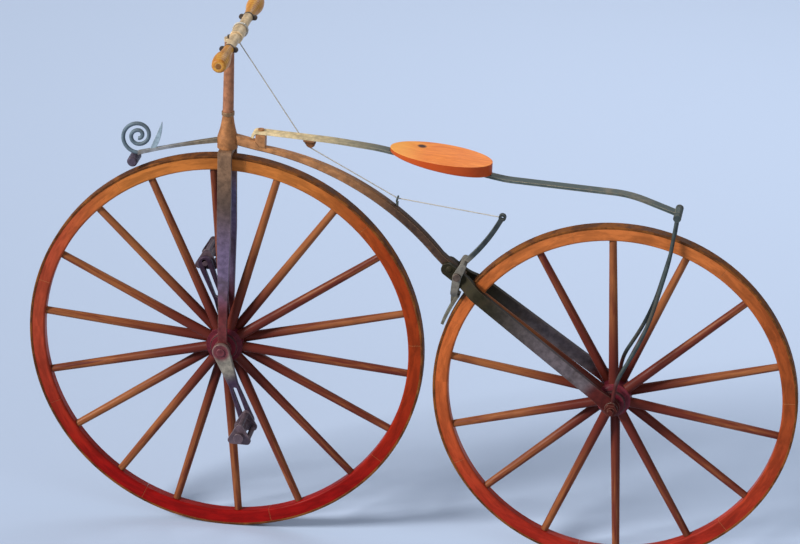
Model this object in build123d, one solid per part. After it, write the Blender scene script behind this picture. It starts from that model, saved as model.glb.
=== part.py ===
from build123d import *
import os
from math import acos, atan2, cos, degrees, hypot, radians, sin, sqrt

# Wooden-wheeled velocipede of about 1869: two spoked wooden wheels in line, pedal cranks on the
# front axle, a forged iron backbone with a sprung wooden saddle, and a cord-pulled shoe brake.
# Millimetres. The layout is drawn with X backwards from the front axle, Y to the rider's right
# and Z up from the ground. Every solid is then moved so that the origin is on the saddle's top.

# Wheels
FRONT_RADIUS = 457.0          # over the iron tyre: a 36 inch wheel
REAR_RADIUS = 414.0
WHEEL_GAP = 24.0              # clear space between the two tyres
TYRE_THICKNESS = 5.0
TYRE_WIDTH = 30.0
TYRE_EDGE = 1.2               # chamfer on the tyre's outer edges
FELLOE_DEPTH = 29.5
FELLOE_WIDTH = 28.0
FELLOE_EDGE = 5.0             # rounding of the felloes' inner edges
FELLOE_GAP = 0.4              # saw cut between two felloes
SPOKE_HUB_RADIUS = 11.5
SPOKE_RIM_RADIUS = 8.5
FRONT_HUB_HALF = 33.0         # half length of the front hub
REAR_HUB_HALF = 50.0
# columns: name, tyre radius, hub half length, hub middle radius, hub end radius, band width, and
# the stagger: how far left and right of the hub's middle the spokes sit in turn
WHEELS = [
    ("front", FRONT_RADIUS, FRONT_HUB_HALF, 42.0, 31.0, 5.0, 10.5),
    ("rear", REAR_RADIUS, REAR_HUB_HALF, 39.0, 29.0, 12.0, 14.0),
]
SPOKE_COUNTS = {"front": 18, "rear": 14}
SPOKES_PER_FELLOE = 2
FIRST_SPOKE_ANGLES = {"front": 15.0, "rear": 16.5}
HUB_BAND_THICKNESS = 2.5
HUB_BEAD_WIDTH = 4.0          # turned bead beside each band
HUB_BEAD_HEIGHT = 2.0
HUB_COVE = 2.0                # hollow of the nave's shoulders

# Clearances
RUNNING_GAP = 0.05            # radial, between a shaft and its bearing
SEAT_GAP = 0.3                # between pieces that turn past each other
HUB_TO_FORK = 5.0             # between the front hub's ends and the fork
HUB_TO_LEG = 6.0              # between the rear hub's ends and the legs
CRANK_GAP = 2.3               # between a bearing's flange and the crank

# Front axle, cranks and pedals
FRONT_AXLE_RADIUS = 10.0
AXLE_PROUD = 3.0              # the axle's ends stand this far out of the cranks
AXLE_EDGE = 1.5
CRANK_THROW = 175.0
CRANK_ANGLE = 21.2            # the left crank hangs this far behind straight down
CRANK_THICKNESS = 11.0
CRANK_EDGE = 1.5
CRANK_BOSS_RADIUS = 20.0
CRANK_NECK_RADIUS = 11.0
CRANK_END_RADIUS = 17.0
CRANK_SLOT_WIDTH = 10.0
CRANK_SLOT_START = 95.0
CRANK_SLOT_END = 181.0
PEDAL_PIN_RADIUS = 6.0
PEDAL_PIN_COLLAR = 11.0
PEDAL_PIN_COLLAR_WIDTH = 5.0
PEDAL_LENGTH = 84.0
PEDAL_PLATE = 5.0
PEDAL_REACH = 20.0            # tread bars lie this far from the pin
PEDAL_CORNER = 9.0
PEDAL_BAR_RADIUS = 6.0
PEDAL_SLEEVE_RADIUS = 10.0
PEDAL_KNOB_LENGTH = 12.0

# Fork and steering column
TRAIL = 6.0                   # the front axle lies this far behind the steering axis
CROWN_GAP = 7.0               # between the tyre's top and the crown
CROWN_THICKNESS = 10.0
CROWN_ARCH = 8.0              # rounding inside the fork's top
FORK_WIDTH = 31.0
FORK_THICKNESS = 11.0
FORK_TOP_INNER = 25.0         # inner face of a leg at the crown
FORK_TOP_ROUND = 9.0
FORK_BEND = 200.0
FORK_SHOULDER = 24.0          # height of the straight top of a leg
FORK_LOW_STRAIGHT = 60.0      # height above the axle where the legs run upright again
FORK_NECK_WIDTH = 20.0
FORK_NECK_HEIGHT = 100.0
FORK_TAPER_HEIGHT = 270.0
FORK_EYE_RADIUS = 20.0
BEARING_RADIUS = 14.0
BEARING_FLANGE = 18.0
BEARING_FLANGE_WIDTH = 4.0
STEERER_RADIUS = 9.0
SOCKET_BOTTOM_RADIUS = 23.0
SOCKET_STRAIGHT = 26.0
SOCKET_HEIGHT = 77.0
SOCKET_HOLLOW = 1.5
COLLAR_RADIUS = 14.5
COLLAR_HEIGHT = 8.0
COLUMN_RADIUS = 12.5
COLUMN_TOP_RADIUS = 11.0
COLUMN_HEIGHT = 166.0

# Handlebar
BAR_RADIUS = 11.0
BAR_BACK = 20.0               # the bar lies this far behind the column
BAR_RISE = 20.4               # and this far above the column's top
BAR_HALF = 110.0              # half length of the bare iron between the flanges
BAR_CORE_RADIUS = 7.0
BAR_EYE_RADIUS = 15.0
BAR_EYE_HALF = 30.0
LUG_THICKNESS = 8.0
LUG_RADIUS = 12.0
LUG_END_WIDTH = 12.0
COLUMN_NUT_RADIUS = 5.3
COLUMN_NUT_HEIGHT = 6.0
FLANGE_RADIUS = 12.0
FLANGE_EAR_REACH = 15.0
FLANGE_EAR_RADIUS = 6.0
FLANGE_THICKNESS = 5.0
GRIP_LENGTH = 114.0
# a grip's outline: share of its length, radius; arcs pass through every second point
GRIP_OUTLINE = [(0.0, 11.5), (0.22, 12.4), (0.42, 15.0), (0.70, 19.0), (0.93, 16.5), (0.985, 13.8),
                (1.0, 9.5)]

# Frame, side view. Places near the head are (x, z) from the head's lower end, and places over
# the front wheel are (degrees back from upright about its axle, distance outside its tyre).
BACKBONE_WIDTH = 22.0
BACKBONE_EDGE = 3.0
BACKBONE_ROOT_TOP = (20.0, 31.7)
BACKBONE_STEP = (66.0, 22.7)
BACKBONE_ROOT_LOW = (20.0, 9.7)
BACKBONE_TOP = [(8.2, 33.0), (34.4, 56.7), (61.5, 102.8)]
BACKBONE_LOW = [(7.2, 22.3), (29.1, 31.8), (60.96, 80.6)]
BACKBONE_END = 25.0           # its lower end's distance outside the rear tyre
BACKBONE_END_DEPTH = 26.0
LEG_DEPTH = 30.0
LEG_THICKNESS = 12.0
LEG_TOP = 80.0                # the legs end this far outside the rear tyre
LEG_FLARE_START = 18.0        # the flare begins this far outside the rear tyre
LEG_FLARE_END = 17.0          # and ends this far inside it
LEG_FLARE_INNER = 34.0
LEG_LOW_STRAIGHT = 42.0
LEG_BENDS = [40.0, 40.0, 300.0]
LEG_EYE_RADIUS = 19.0
RIVET_RADIUS = 4.5
RIVET_HEAD = 8.0
RIVET_HEAD_HEIGHT = 3.5
RIVET_PLACE = (-18.0, 3.0)    # from the legs' upper end: along them, and above their middle line
REAR_AXLE_RADIUS = 8.0
AXLE_STUB_RADIUS = 6.5
AXLE_STUB_LENGTH = 12.0
NUT_FLATS = 26.0
NUT_THICKNESS = 11.0
SPACER_RADIUS = 13.0

# Seat spring and stays. The spring's front places are (x, z) from the head's lower end, and its
# rear ones are x behind the rear axle and z above the rear tyre.
SPRING_WIDTH = 26.0
SPRING_THICKNESS = 6.0
SPRING_FRONT = [(57.5, 31.0), (61.0, 44.7), (241.0, 38.2), (341.0, 29.7)]
SPRING_BACK = [(-270.0, 85.0), (8.0, 76.0), (114.0, 41.0)]
SPRING_BENDS = [9.0, 900.0, 380.0, 260.0, 260.0]
SPRING_EYE = (117.0, 40.0)
SPRING_EYE_RADIUS = 9.0
EYE_BOLT_RADIUS = 5.0
EYE_BOLT_HEAD = 6.0
STAY_RADIUS = 4.5
STAY_EYE_WIDTH = 9.0
STAY_EYE_RADIUS = 15.0
STAY_TOP_Y = 22.5
# the right stay's bends as (x, y, z) from the rear axle; it runs beside the eye at both ends
STAY_POINTS = [(106.0, 37.0, 351.0), (67.0, 56.0, 184.0), (8.0, 72.5, 68.0)]
STAY_BENDS = [500.0, 600.0, 130.0]
BRACKET_PLACE = (65.0, 6.7)
BRACKET_LENGTH = 22.0
BRACKET_BOLT_RADIUS = 4.0
BRACKET_BOLT_HEAD = 7.0
BRACKET_BOLT_HEAD_HEIGHT = 3.5
BRACKET_BOLT_DEPTH = 16.0

# Saddle
SADDLE_PLACE = 484.0          # its middle, behind the steering axis
SADDLE_LENGTH = 230.0
SADDLE_WIDTH = 130.0
SADDLE_FRONT_THICKNESS = 9.0
SADDLE_BACK_THICKNESS = 28.0
SADDLE_EDGE = 3.5
SCREW_PLACES = [-60.0, 62.0]  # from the saddle's middle
SCREW_RADIUS = 4.0
SCREW_DEPTH = 7.0
SCREW_HEAD = 7.0
SCREW_HEAD_HEIGHT = 4.0

# Brake. Places are (distance outside the rear tyre along the legs, distance above their middle).
LEVER_EYE = (46.0, 172.3)
LEVER_ARM = (38.6, 97.4)
LEVER_BRIDGE = (44.0, 29.0)
PIVOT = (39.1, 2.3)
SHOE_PIN = (20.0, -33.6)
LEVER_WIDTH = 11.0
LEVER_THICKNESS = 10.0
LEVER_EYE_RADIUS = 8.5
LEVER_HOLE_RADIUS = 3.0
BRIDGE_RADIUS = 8.0
CHEEK_INNER = 24.0
CHEEK_THICKNESS = 5.0
CHEEK_PIVOT_RADIUS = 10.0
CHEEK_END_RADIUS = 8.0
PIVOT_BOLT_RADIUS = 5.0
PIVOT_HEAD_RADIUS = 9.0
PIVOT_HEAD = 6.0
TYRE_TO_SHOE = 5.0
SHOE_THICKNESS = 7.0
SHOE_WIDTH = 30.0
SHOE_TOP_BELOW = 5.0          # degrees below the legs' line, about the rear axle
SHOE_LUG_BELOW = 9.0
SHOE_LOW_BELOW = 16.0
SHOE_PIN_RADIUS = 5.0
SHOE_LUG_RADIUS = 9.0
SHOE_LUG_HALF = 8.0

# Brake cord, its sheave and its eyelet
CORD_RADIUS = 1.5
CORD_SIDE = 18.0              # the upper stretch runs this far right of the middle
CORD_AT_SHEAVE = (178.0, 12.7)           # from the head's lower end
CORD_AT_EYELET = (44.7, 86.1)
EYELET_SIDE = 6.0
CORD_EYELET_BEND = 8.0
SHEAVE_RADIUS = 10.0
SHEAVE_HALF = 3.7
SHEAVE_PIN_RADIUS = 3.0
GUIDE_LENGTH = 24.0
GUIDE_RIGHT = 24.0            # the guide's plate ends this far right and left of the middle
GUIDE_LEFT = 13.0
GUIDE_THICKNESS = 4.0
GUIDE_EAR = 11.0              # radius of the block's round foot
GUIDE_EAR_CORNER = 1.0
GUIDE_EAR_THICKNESS = 2.0
EYELET_RADIUS = 6.0
EYELET_WIRE = 2.0
EYELET_STALK_RADIUS = 3.0
EYELET_STALK = 20.0

# Leg rest, as (x, z) from the head's lower end, and its leaf from the stem's end
STEM_TOP = [(-8.0, 24.4), (-99.0, 1.6)]
STEM_LOW = [(-8.0, 12.4), (-99.0, -5.4)]
STEM_ROOT_WIDTH = 12.0
REST_PLACE = (-204.0, -31.8)
SCROLL_RADIUS = 4.5
SCROLL_TURNS = [34.75, 24.5, 16.5, 9.5]   # radii of its half turns, from the outside in
LEAF_OUTER = [(25.0, 7.0), (41.0, 45.5), (54.0, 78.5)]
LEAF_INNER = [(54.0, 78.5), (53.0, 52.5), (37.0, 8.0)]
LEAF_THICKNESS = 6.0
REST_BAR_PLACE = (-9.0, -15.0)           # from the stem's end
REST_BAR_RADIUS = 12.0
REST_BAR_HALF = 24.0
REST_BAR_EDGE = 3.0

FRONT_HUB = (0.0, FRONT_RADIUS)
REAR_HUB = (FRONT_RADIUS + REAR_RADIUS + WHEEL_GAP, REAR_RADIUS)
CROWN_LOW = FRONT_RADIUS * 2 + CROWN_GAP
CROWN_TOP = CROWN_LOW + CROWN_THICKNESS
HEAD = (-TRAIL, CROWN_TOP + SEAT_GAP)
FORK_LOW_INNER = FRONT_HUB_HALF + HUB_TO_FORK
CRANK_INNER = FORK_LOW_INNER + FORK_THICKNESS + BEARING_FLANGE_WIDTH + CRANK_GAP
LEG_LOW_INNER = REAR_HUB_HALF + HUB_TO_LEG

parts = {}


def by_head(x, z):
    """A side-view point placed from the head's lower end."""
    return (HEAD[0] + x, HEAD[1] + z)


def over_tyre(angle, gap):
    """A side-view point outside the front tyre, at an angle back from upright."""
    reach = FRONT_RADIUS + gap
    return (FRONT_HUB[0] + reach * sin(radians(angle)), FRONT_HUB[1] + reach * cos(radians(angle)))


def over_rear(x, z):
    """A side-view point behind the rear axle and above the rear tyre."""
    return (REAR_HUB[0] + x, REAR_HUB[1] + REAR_RADIUS + z)


junction = over_tyre(*BACKBONE_LOW[-1])
leg_angle = atan2(junction[1] - REAR_HUB[1], REAR_HUB[0] - junction[0])


def on_leg(s, t=0.0):
    """A side-view point s up the rear legs from the axle and t above their middle line."""
    c, k = cos(leg_angle), sin(leg_angle)
    return (REAR_HUB[0] - s * c + t * k, REAR_HUB[1] + s * k + t * c)


def by_tyre(outside, t):
    """A side-view point on the legs' line, placed from the rear tyre."""
    return on_leg(REAR_RADIUS + outside, t)


def rod(radius, y0, y1, at=(0.0, 0.0)):
    """A cylinder along Y between y0 and y1, at a point of the side view."""
    return Pos(at[0], (y0 + y1) / 2, at[1]) * Rot(90, 0, 0) * Cylinder(radius, abs(y1 - y0))


def post(radius, z0, z1, x):
    """An upright cylinder between two heights."""
    return Pos(x, 0, (z0 + z1) / 2) * Cylinder(radius, z1 - z0)


def plate(face, y0, y1):
    """A side-view face made solid between y0 and y1."""
    return Pos(0, max(y0, y1), 0) * extrude(Plane.XZ * face, abs(y1 - y0))


def turned(points, at=(0.0, 0.0)):
    """A piece turned about the Y direction from (radius, y) points."""
    profile = make_face(Polyline(*points, close=True))
    return Pos(at[0], 0, at[1]) * revolve(profile, Axis.Y, 360)


def hull_of(*circles):
    """The outline round circles given as (x, z, radius)."""
    edges = []
    for x, z, radius in circles:
        edges += (Pos(x, z) * Circle(radius)).edges()
    return make_hull(edges)


def hexagon(flats, y0, y1, at):
    """A hexagon prism along Y."""
    return plate(Pos(*at) * RegularPolygon(flats / 2, 6, major_radius=False), y0, y1)


def softened(piece, size):
    """A plate with the edges of its two side faces chamfered."""
    sides = piece.faces().sort_by(Axis.Y)
    return chamfer(sides[0].edges() + sides[-1].edges(), size)


def pipe(points, bends, radius):
    """A round rod along straight runs joined by tangent arcs."""
    path = FilletPolyline(*points, radius=bends)
    start = Plane(origin=path @ 0, z_dir=path % 0)
    return sweep(start * Circle(radius), path=path)


def both_sides(name, make):
    """The right and left copies of a piece; make gives the right one."""
    right = make()
    parts[name + "_right"] = [right]
    parts[name + "_left"] = [mirror(right, Plane.XZ)]


# Wheels

def hub_solid(half, middle, end, band_width, stagger, bore):
    """A turned wooden nave: a barrel for the spokes, hollow shoulders, a bead and a band seat."""
    flat = stagger + SPOKE_HUB_RADIUS
    band = half - band_width
    bead = band - HUB_BEAD_WIDTH
    seat = end - HUB_BAND_THICKNESS
    outline = [Line((bore, -half), (bore, half)), Line((middle, -flat), (middle, flat))]
    for way in (-1, 1):
        hollow = ((middle + end) / 2 - HUB_COVE, way * (flat + bead) / 2)
        crest = (end + HUB_BEAD_HEIGHT, way * (bead + band) / 2)
        outline += [
            ThreePointArc((middle, way * flat), hollow, (end, way * bead)),
            ThreePointArc((end, way * bead), crest, (end, way * band)),
            Line((end, way * band), (seat, way * band)),
            Line((seat, way * band), (seat, way * half)),
            Line((seat, way * half), (bore, way * half))]
    return revolve(make_face(outline), Axis.Y, 360)


def build_wheel(name, radius, half, middle, end, band_width, stagger, axle):
    """All the pieces of one wooden wheel, about its own centre."""
    spokes = SPOKE_COUNTS[name]
    felloes = spokes // SPOKES_PER_FELLOE
    first = FIRST_SPOKE_ANGLES[name]
    felloe_out = radius - TYRE_THICKNESS
    felloe_in = felloe_out - FELLOE_DEPTH
    wide = TYRE_WIDTH / 2
    tyre = turned([
        (felloe_out, -wide), (radius - TYRE_EDGE, -wide), (radius, -wide + TYRE_EDGE),
        (radius, wide - TYRE_EDGE), (radius - TYRE_EDGE, wide), (felloe_out, wide)])

    section = Pos(felloe_out - FELLOE_DEPTH / 2, 0) * Rectangle(FELLOE_DEPTH, FELLOE_WIDTH)
    section = fillet(section.vertices().group_by(Axis.X)[0], FELLOE_EDGE)
    cut = degrees(FELLOE_GAP / felloe_out)
    felloe = revolve(section, Axis.Y, 360 / felloes - cut)
    middle_of_spoke_pair = first + 180 / spokes
    rim = [Rot(0, -(middle_of_spoke_pair + 360 / felloes * k) + 180 / felloes, 0) * felloe
           for k in range(felloes)]

    seat = end - HUB_BAND_THICKNESS
    band_in = half - band_width
    bands = [turned([(seat, a), (end, a), (end, b), (seat, b)])
             for a, b in ((-half, -band_in), (band_in, half))]

    spoke_set = []
    flat_tip = sqrt(felloe_in ** 2 - SPOKE_RIM_RADIUS ** 2)
    beyond = Pos(flat_tip, 0, 0) * Box(FELLOE_DEPTH, FELLOE_WIDTH, FELLOE_WIDTH,
                                       align=(Align.MIN, Align.CENTER, Align.CENTER))
    for k in range(spokes):
        side_y = stagger if k % 2 == 0 else -stagger
        foot = Vector(middle - SPOKE_HUB_RADIUS, side_y, 0)
        line = Vector(felloe_in + SEAT_GAP, 0, 0) - foot
        cone = Cone(SPOKE_HUB_RADIUS, SPOKE_RIM_RADIUS, line.length,
                    align=(Align.CENTER, Align.CENTER, Align.MIN))
        spoke = Plane(origin=foot, z_dir=line) * cone - rod(middle, -half, half) - beyond
        spoke_set.append(Rot(0, -(first + 360 / spokes * k), 0) * spoke)
    return {
        name + "_tyre": [tyre], name + "_felloes": rim,
        name + "_hub": [hub_solid(half, middle, end, band_width, stagger, axle)],
        name + "_hub_bands": bands, name + "_spokes": spoke_set}


for row in WHEELS:
    is_front = row[0] == "front"
    hub_at = FRONT_HUB if is_front else REAR_HUB
    bore = FRONT_AXLE_RADIUS if is_front else REAR_AXLE_RADIUS + RUNNING_GAP
    for node, solids in build_wheel(*row, bore).items():
        parts[node] = [Pos(hub_at[0], 0, hub_at[1]) * solid for solid in solids]


# Front axle, cranks and pedals

crank_outer = CRANK_INNER + CRANK_THICKNESS
axle_end = crank_outer + AXLE_PROUD
parts["front_axle"] = [turned([
    (0, -axle_end), (FRONT_AXLE_RADIUS - AXLE_EDGE, -axle_end),
    (FRONT_AXLE_RADIUS, -axle_end + AXLE_EDGE), (FRONT_AXLE_RADIUS, axle_end - AXLE_EDGE),
    (FRONT_AXLE_RADIUS - AXLE_EDGE, axle_end), (0, axle_end)], FRONT_HUB)]


def along_crank(distance, side):
    """A side-view point on a crank: side -1 is the left one, +1 the right one."""
    turn = radians(CRANK_ANGLE)
    return (-side * sin(turn) * distance, FRONT_RADIUS + side * cos(turn) * distance)


def crank(side):
    """A flat slotted crank: the pedal pin can be clamped anywhere along its slot."""
    boss = along_crank(0, side)
    neck = along_crank(CRANK_SLOT_START - CRANK_NECK_RADIUS, side)
    end = along_crank(CRANK_THROW, side)
    start = along_crank(CRANK_SLOT_START, side)
    stop = along_crank(CRANK_SLOT_END, side)
    outline = hull_of((*boss, CRANK_BOSS_RADIUS), (*neck, CRANK_NECK_RADIUS))
    outline += hull_of((*neck, CRANK_NECK_RADIUS), (*end, CRANK_END_RADIUS))
    holes = hull_of((*start, CRANK_SLOT_WIDTH / 2), (*stop, CRANK_SLOT_WIDTH / 2))
    holes += Pos(*end) * Circle(PEDAL_PIN_RADIUS)
    holes += Pos(*boss) * Circle(FRONT_AXLE_RADIUS)
    faces = (side * CRANK_INNER, side * crank_outer)
    return softened(plate(outline, *faces), CRANK_EDGE) - plate(holes, *faces)


pedal_inner = crank_outer + PEDAL_PIN_COLLAR_WIDTH + SEAT_GAP
pedal_outer = pedal_inner + PEDAL_LENGTH


def pedal_pin(side):
    """The pin through the crank, with a collar before the pedal and a knob outside it."""
    at = along_crank(CRANK_THROW, side)
    collar_end = crank_outer + PEDAL_PIN_COLLAR_WIDTH
    knob_start = pedal_outer + SEAT_GAP
    knob_end = pedal_outer + PEDAL_KNOB_LENGTH
    pin = rod(PEDAL_PIN_RADIUS, side * CRANK_INNER, side * knob_end, at)
    pin += rod(PEDAL_PIN_COLLAR, side * crank_outer, side * collar_end, at)
    pin += rod(PEDAL_PIN_COLLAR, side * knob_start, side * knob_end, at)
    return pin


def pedal(side):
    """Two three-cornered end plates joined by three tread bars round a sleeve."""
    at = along_crank(CRANK_THROW, side)
    corners = []
    for k in range(3):
        turn = radians(90 + 120 * k)
        corners.append((at[0] + PEDAL_REACH * cos(turn), at[1] + PEDAL_REACH * sin(turn)))
    outline = hull_of(*[(*corner, PEDAL_CORNER) for corner in corners])
    body = rod(PEDAL_SLEEVE_RADIUS, side * pedal_inner, side * pedal_outer, at)
    for y in (pedal_inner, pedal_outer - PEDAL_PLATE):
        body += plate(outline, side * y, side * (y + PEDAL_PLATE))
    for corner in corners:
        body += rod(PEDAL_BAR_RADIUS, side * pedal_inner, side * pedal_outer, corner)
    bore = PEDAL_PIN_RADIUS + RUNNING_GAP
    return body - rod(bore, side * pedal_inner, side * pedal_outer, at)


for side, word in ((-1, "left"), (1, "right")):
    parts["crank_" + word] = [crank(side)]
    parts["pedal_pin_" + word] = [pedal_pin(side)]
    parts["pedal_" + word] = [pedal(side)]


# Fork

half_fork = FORK_WIDTH / 2
crown_view = Pos(0, (CROWN_LOW + CROWN_TOP) / 2) * Rectangle(2 * FORK_TOP_INNER, CROWN_THICKNESS)
for way in (-1, 1):
    corner = Pos(way * (FORK_TOP_INNER - CROWN_ARCH / 2), CROWN_LOW - CROWN_ARCH / 2)
    hollow = Pos(way * (FORK_TOP_INNER - CROWN_ARCH), CROWN_LOW - CROWN_ARCH)
    crown_view += corner * Rectangle(CROWN_ARCH, CROWN_ARCH) - hollow * Circle(CROWN_ARCH)
crown = Pos(HEAD[0], 0, 0) * extrude(Plane.YZ * crown_view, half_fork, both=True)
parts["fork_crown"] = [crown - post(STEERER_RADIUS, CROWN_LOW, CROWN_TOP, HEAD[0])]


def leg_middle(z):
    """Where a fork leg's middle line lies at a height, from the axle up to the steering axis."""
    return HEAD[0] * (z - FRONT_RADIUS) / (CROWN_TOP - FRONT_RADIUS)


def fork_leg():
    """A flat bar from the crown's end down and outwards to the bearing eye."""
    top_y = FORK_TOP_INNER + FORK_THICKNESS / 2
    low_y = FORK_LOW_INNER + FORK_THICKNESS / 2
    line = FilletPolyline(
        (top_y, CROWN_TOP), (top_y, CROWN_TOP - FORK_SHOULDER),
        (low_y, FRONT_RADIUS + FORK_LOW_STRAIGHT), (low_y, FRONT_RADIUS - FORK_EYE_RADIUS),
        radius=FORK_BEND)
    front_view = trace(line, FORK_THICKNESS)
    shoulder = Vertex(FORK_TOP_INNER + FORK_THICKNESS, CROWN_TOP, 0)
    front_view = fillet(front_view.vertices().sort_by_distance(shoulder)[0], FORK_TOP_ROUND)
    bar = extrude(Plane.YZ * front_view, FORK_WIDTH, both=True)

    # columns: height, half width
    widths = [(CROWN_TOP, half_fork), (FRONT_RADIUS + FORK_TAPER_HEIGHT, half_fork),
              (FRONT_RADIUS + FORK_NECK_HEIGHT, FORK_NECK_WIDTH / 2),
              (FRONT_RADIUS, FORK_NECK_WIDTH / 2)]
    back = [(leg_middle(z) + half, z) for z, half in widths]
    front = [(leg_middle(z) - half, z) for z, half in reversed(widths)]
    side_view = make_face(Polyline(*back, *front, close=True))
    side_view += Pos(*FRONT_HUB) * Circle(FORK_EYE_RADIUS)
    side_view -= Pos(*FRONT_HUB) * Circle(BEARING_RADIUS)
    return bar & plate(side_view, 0, FORK_LOW_INNER + FORK_THICKNESS)


def fork_bearing():
    """A flanged bush pressed into the fork's eye."""
    bore = FRONT_AXLE_RADIUS + RUNNING_GAP
    out = FORK_LOW_INNER + FORK_THICKNESS
    flange = out + BEARING_FLANGE_WIDTH
    return turned([
        (bore, FORK_LOW_INNER), (BEARING_RADIUS, FORK_LOW_INNER), (BEARING_RADIUS, out),
        (BEARING_FLANGE, out), (BEARING_FLANGE, flange), (bore, flange)], FRONT_HUB)


both_sides("fork_leg", fork_leg)
both_sides("fork_bearing", fork_bearing)


# Head socket and steering column

def upright(outline):
    """A piece turned about the steering axis from edges in (radius, z)."""
    return Pos(HEAD[0], 0, 0) * revolve(Plane.XZ * make_face(outline), Axis.Z, 360)


socket_top = HEAD[1] + SOCKET_HEIGHT
collar_low = socket_top + SEAT_GAP
collar_top = collar_low + COLLAR_HEIGHT
column_top = collar_top + COLUMN_HEIGHT
parts["steering_column"] = [upright(Polyline(
    (0, CROWN_LOW), (STEERER_RADIUS, CROWN_LOW), (STEERER_RADIUS, collar_top),
    (COLUMN_RADIUS, collar_top), (COLUMN_TOP_RADIUS, column_top), (0, column_top), close=True))]
parts["head_collar"] = [post(COLLAR_RADIUS, collar_low, collar_top, HEAD[0])
                        - post(STEERER_RADIUS, collar_low, collar_top, HEAD[0])]

socket_bore = STEERER_RADIUS + RUNNING_GAP
flare_low = HEAD[1] + SOCKET_STRAIGHT
flare_hollow = ((SOCKET_BOTTOM_RADIUS + COLUMN_RADIUS) / 2 - SOCKET_HOLLOW, (flare_low + socket_top) / 2)
parts["head_socket"] = [upright([
    Line((socket_bore, HEAD[1]), (SOCKET_BOTTOM_RADIUS, HEAD[1])),
    Line((SOCKET_BOTTOM_RADIUS, HEAD[1]), (SOCKET_BOTTOM_RADIUS, flare_low)),
    ThreePointArc((SOCKET_BOTTOM_RADIUS, flare_low), flare_hollow, (COLUMN_RADIUS, socket_top)),
    Line((COLUMN_RADIUS, socket_top), (socket_bore, socket_top)),
    Line((socket_bore, socket_top), (socket_bore, HEAD[1]))])]
socket_room = post(SOCKET_BOTTOM_RADIUS, HEAD[1], flare_low, HEAD[0])
socket_room += upright([
    Line((0, flare_low), (SOCKET_BOTTOM_RADIUS, flare_low)),
    ThreePointArc((SOCKET_BOTTOM_RADIUS, flare_low), flare_hollow, (COLUMN_RADIUS, socket_top)),
    Line((COLUMN_RADIUS, socket_top), (0, socket_top)), Line((0, socket_top), (0, flare_low))])


# Handlebar

bar_at = (HEAD[0] + BAR_BACK, column_top + BAR_RISE)
lug_top = column_top + LUG_THICKNESS
grip_start = BAR_HALF + FLANGE_THICKNESS
grip_stop = grip_start + GRIP_LENGTH
bar = rod(BAR_RADIUS, -BAR_HALF, BAR_HALF, bar_at)
bar += rod(BAR_CORE_RADIUS, -grip_stop, grip_stop, bar_at)
parts["handlebar"] = [bar]
lug_end = Pos(BAR_BACK) * Rectangle(LUG_END_WIDTH, 2 * LUG_RADIUS)
lug_plan = make_hull(Circle(LUG_RADIUS).edges() + lug_end.edges())
lug = extrude(Pos(HEAD[0], 0, column_top) * lug_plan, LUG_THICKNESS)
lug += rod(BAR_EYE_RADIUS, -BAR_EYE_HALF, BAR_EYE_HALF, bar_at)
parts["bar_bracket"] = [lug - rod(BAR_RADIUS, -BAR_EYE_HALF, BAR_EYE_HALF, bar_at)]
parts["column_nut"] = [Pos(HEAD[0], 0, lug_top)
                       * extrude(RegularPolygon(COLUMN_NUT_RADIUS, 6), COLUMN_NUT_HEIGHT)]


def grip():
    """A turned pear-shaped wooden grip over the bar's core."""
    places = [(radius, grip_start + share * GRIP_LENGTH) for share, radius in GRIP_OUTLINE]
    outline = [ThreePointArc(*places[k:k + 3]) for k in range(0, len(places) - 1, 2)]
    outline += [
        Line(places[-1], (BAR_CORE_RADIUS, grip_stop)),
        Line((BAR_CORE_RADIUS, grip_stop), (BAR_CORE_RADIUS, grip_start)),
        Line((BAR_CORE_RADIUS, grip_start), places[0])]
    return Pos(bar_at[0], 0, bar_at[1]) * revolve(make_face(outline), Axis.Y, 360)


both_sides("grip", grip)
ears = hull_of(*[(bar_at[0] + way * FLANGE_EAR_REACH, bar_at[1], FLANGE_EAR_RADIUS) for way in (-1, 1)])
flange_view = ears + Pos(*bar_at) * Circle(FLANGE_RADIUS) - Pos(*bar_at) * Circle(BAR_CORE_RADIUS)
parts["grip_flanges"] = [plate(flange_view, side * BAR_HALF, side * grip_start) for side in (-1, 1)]


# Backbone and rear legs

backbone_top = [over_tyre(*point) for point in BACKBONE_TOP]
backbone_low = [over_tyre(*point) for point in BACKBONE_LOW]
end_top = by_tyre(BACKBONE_END, BACKBONE_END_DEPTH / 2)
end_low = by_tyre(BACKBONE_END, -BACKBONE_END_DEPTH / 2)
backbone_face = make_face([
    Line(by_head(*BACKBONE_ROOT_TOP), by_head(*BACKBONE_STEP)),
    Line(by_head(*BACKBONE_STEP), backbone_top[0]),
    ThreePointArc(*backbone_top),
    Line(backbone_top[-1], end_top),
    Line(end_top, end_low),
    Line(end_low, backbone_low[-1]),
    ThreePointArc(*reversed(backbone_low)),
    Line(backbone_low[0], by_head(*BACKBONE_ROOT_LOW)),
    Line(by_head(*BACKBONE_ROOT_LOW), by_head(*BACKBONE_ROOT_TOP))])
half_backbone = BACKBONE_WIDTH / 2
backbone_room = plate(backbone_face, -half_backbone, half_backbone)
leg_out = LEG_LOW_INNER + LEG_THICKNESS
leg_top = REAR_RADIUS + LEG_TOP
pivot_at = by_tyre(*PIVOT)
rivet_at = on_leg(leg_top + RIVET_PLACE[0], RIVET_PLACE[1])
pivot_hole = rod(PIVOT_BOLT_RADIUS, -leg_out, leg_out, pivot_at)
rivet_hole = rod(RIVET_RADIUS, -leg_out, leg_out, rivet_at)
backbone = softened(backbone_room, BACKBONE_EDGE) - socket_room - pivot_hole - rivet_hole
parts["backbone"] = [backbone]


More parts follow.
